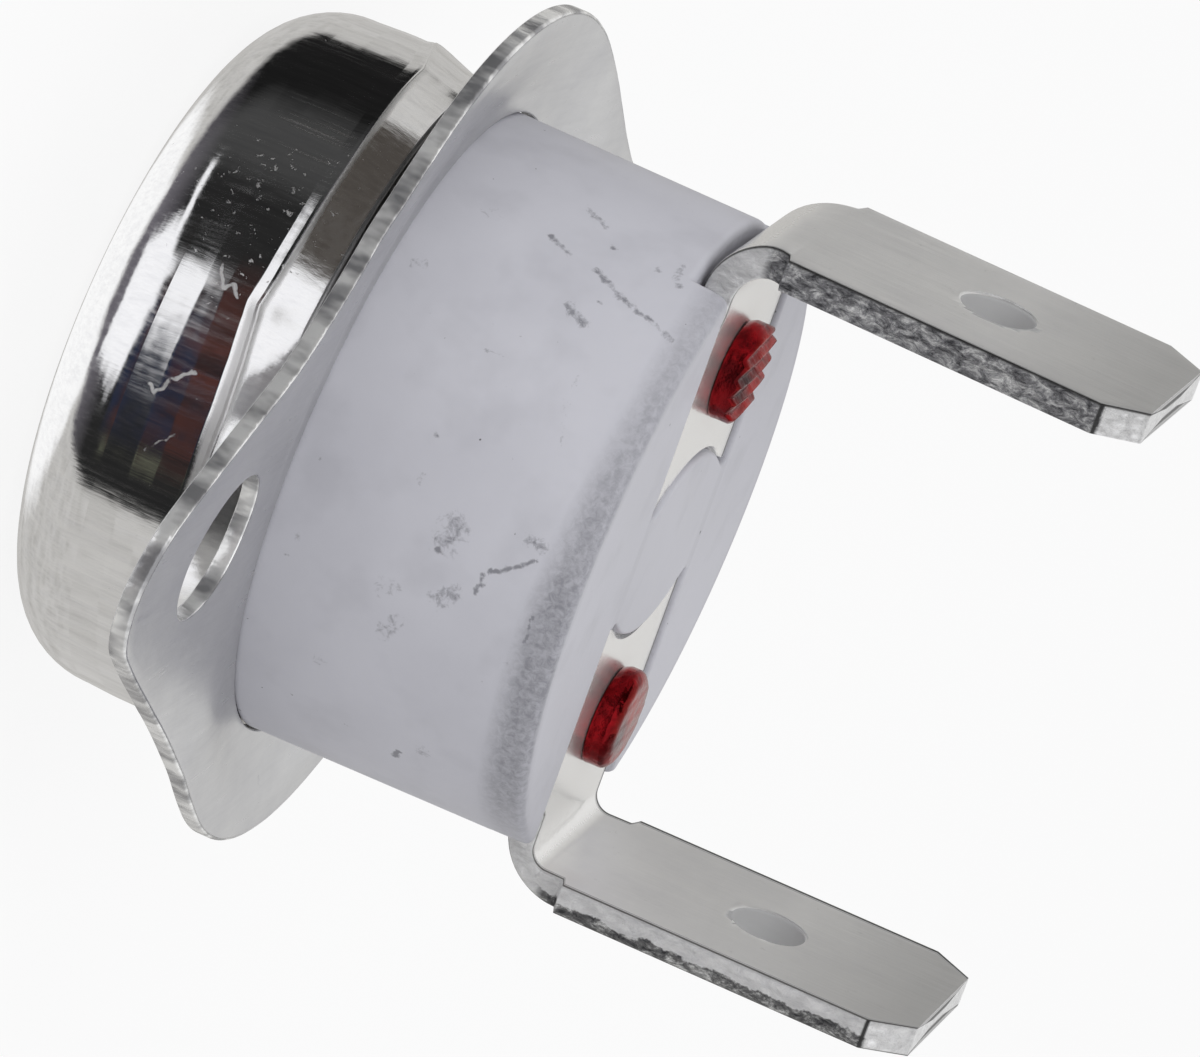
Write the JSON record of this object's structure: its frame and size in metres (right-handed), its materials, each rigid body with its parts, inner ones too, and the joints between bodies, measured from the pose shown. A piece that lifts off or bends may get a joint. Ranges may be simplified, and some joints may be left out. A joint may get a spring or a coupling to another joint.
{
  "type": "bimetal temperature switch",
  "caption": "Snap-action bimetal temperature switch: ceramic housing, aluminium sensing cap, loose two-ear flange and upright push-on tabs.",
  "frame": {"origin": "centre of the flat sensing face, the lowest point of the part", "axes": "+Z along the housing from the sensing face to the tabs; X through both terminals; Y through both flange ears"},
  "size_m": [0.0228, 0.0368, 0.025],
  "materials": {
    "polished_aluminium": "polished",
    "bimetal_strip": "rolled",
    "moulded_guide": "matte",
    "pin_ceramic": "fine matte ceramic",
    "glazed_ceramic": "fine white ceramic, slightly glossy, scuffed",
    "flange_aluminium": "satin",
    "spring_bronze": "rolled",
    "contact_silver": "satin",
    "plate_brass": "rolled",
    "tinned_strip": "tin plated, satin",
    "red_lacquer": "red lacquer over a metal rivet"
  },
  "bodies": {
    "housing": {"sensing_cap": "polished_aluminium", "bimetal_disc": "bimetal_strip", "disc_guide": "moulded_guide", "ceramic_body": "glazed_ceramic", "contact_arm": "spring_bronze", "fixed_contact_plate": "plate_brass", "fixed_contact": "contact_silver", "terminal_left": "tinned_strip", "terminal_right": "tinned_strip", "rivet_left": "red_lacquer", "rivet_right": "red_lacquer"},
    "flange": {"mounting_flange": "flange_aluminium"},
    "pin": {"push_pin": "pin_ceramic"},
    "contact": {"moving_contact": "contact_silver"}
  },
  "joints": [
    {"name": "flange_swivel", "type": "hinge", "parent": "housing", "child": "flange", "pos_m": [0, 0, 0.0065], "axis": [0, 0, 1], "continuous": true},
    {"name": "pin_lift", "type": "slide", "parent": "housing", "child": "pin", "axis": [0, 0, 1], "range_m": [0, 0.0004], "stiffness_N_per_m": 200, "deforming": ["bimetal_disc", "contact_arm"]},
    {"name": "contact_lift", "type": "slide", "parent": "housing", "child": "contact", "axis": [0, 0, 1], "range_m": [0, 0.00065]}
  ],
  "couplings": [
    {"joint": "contact_lift", "follows": "pin_lift", "ratio": 1.6}
  ]
}
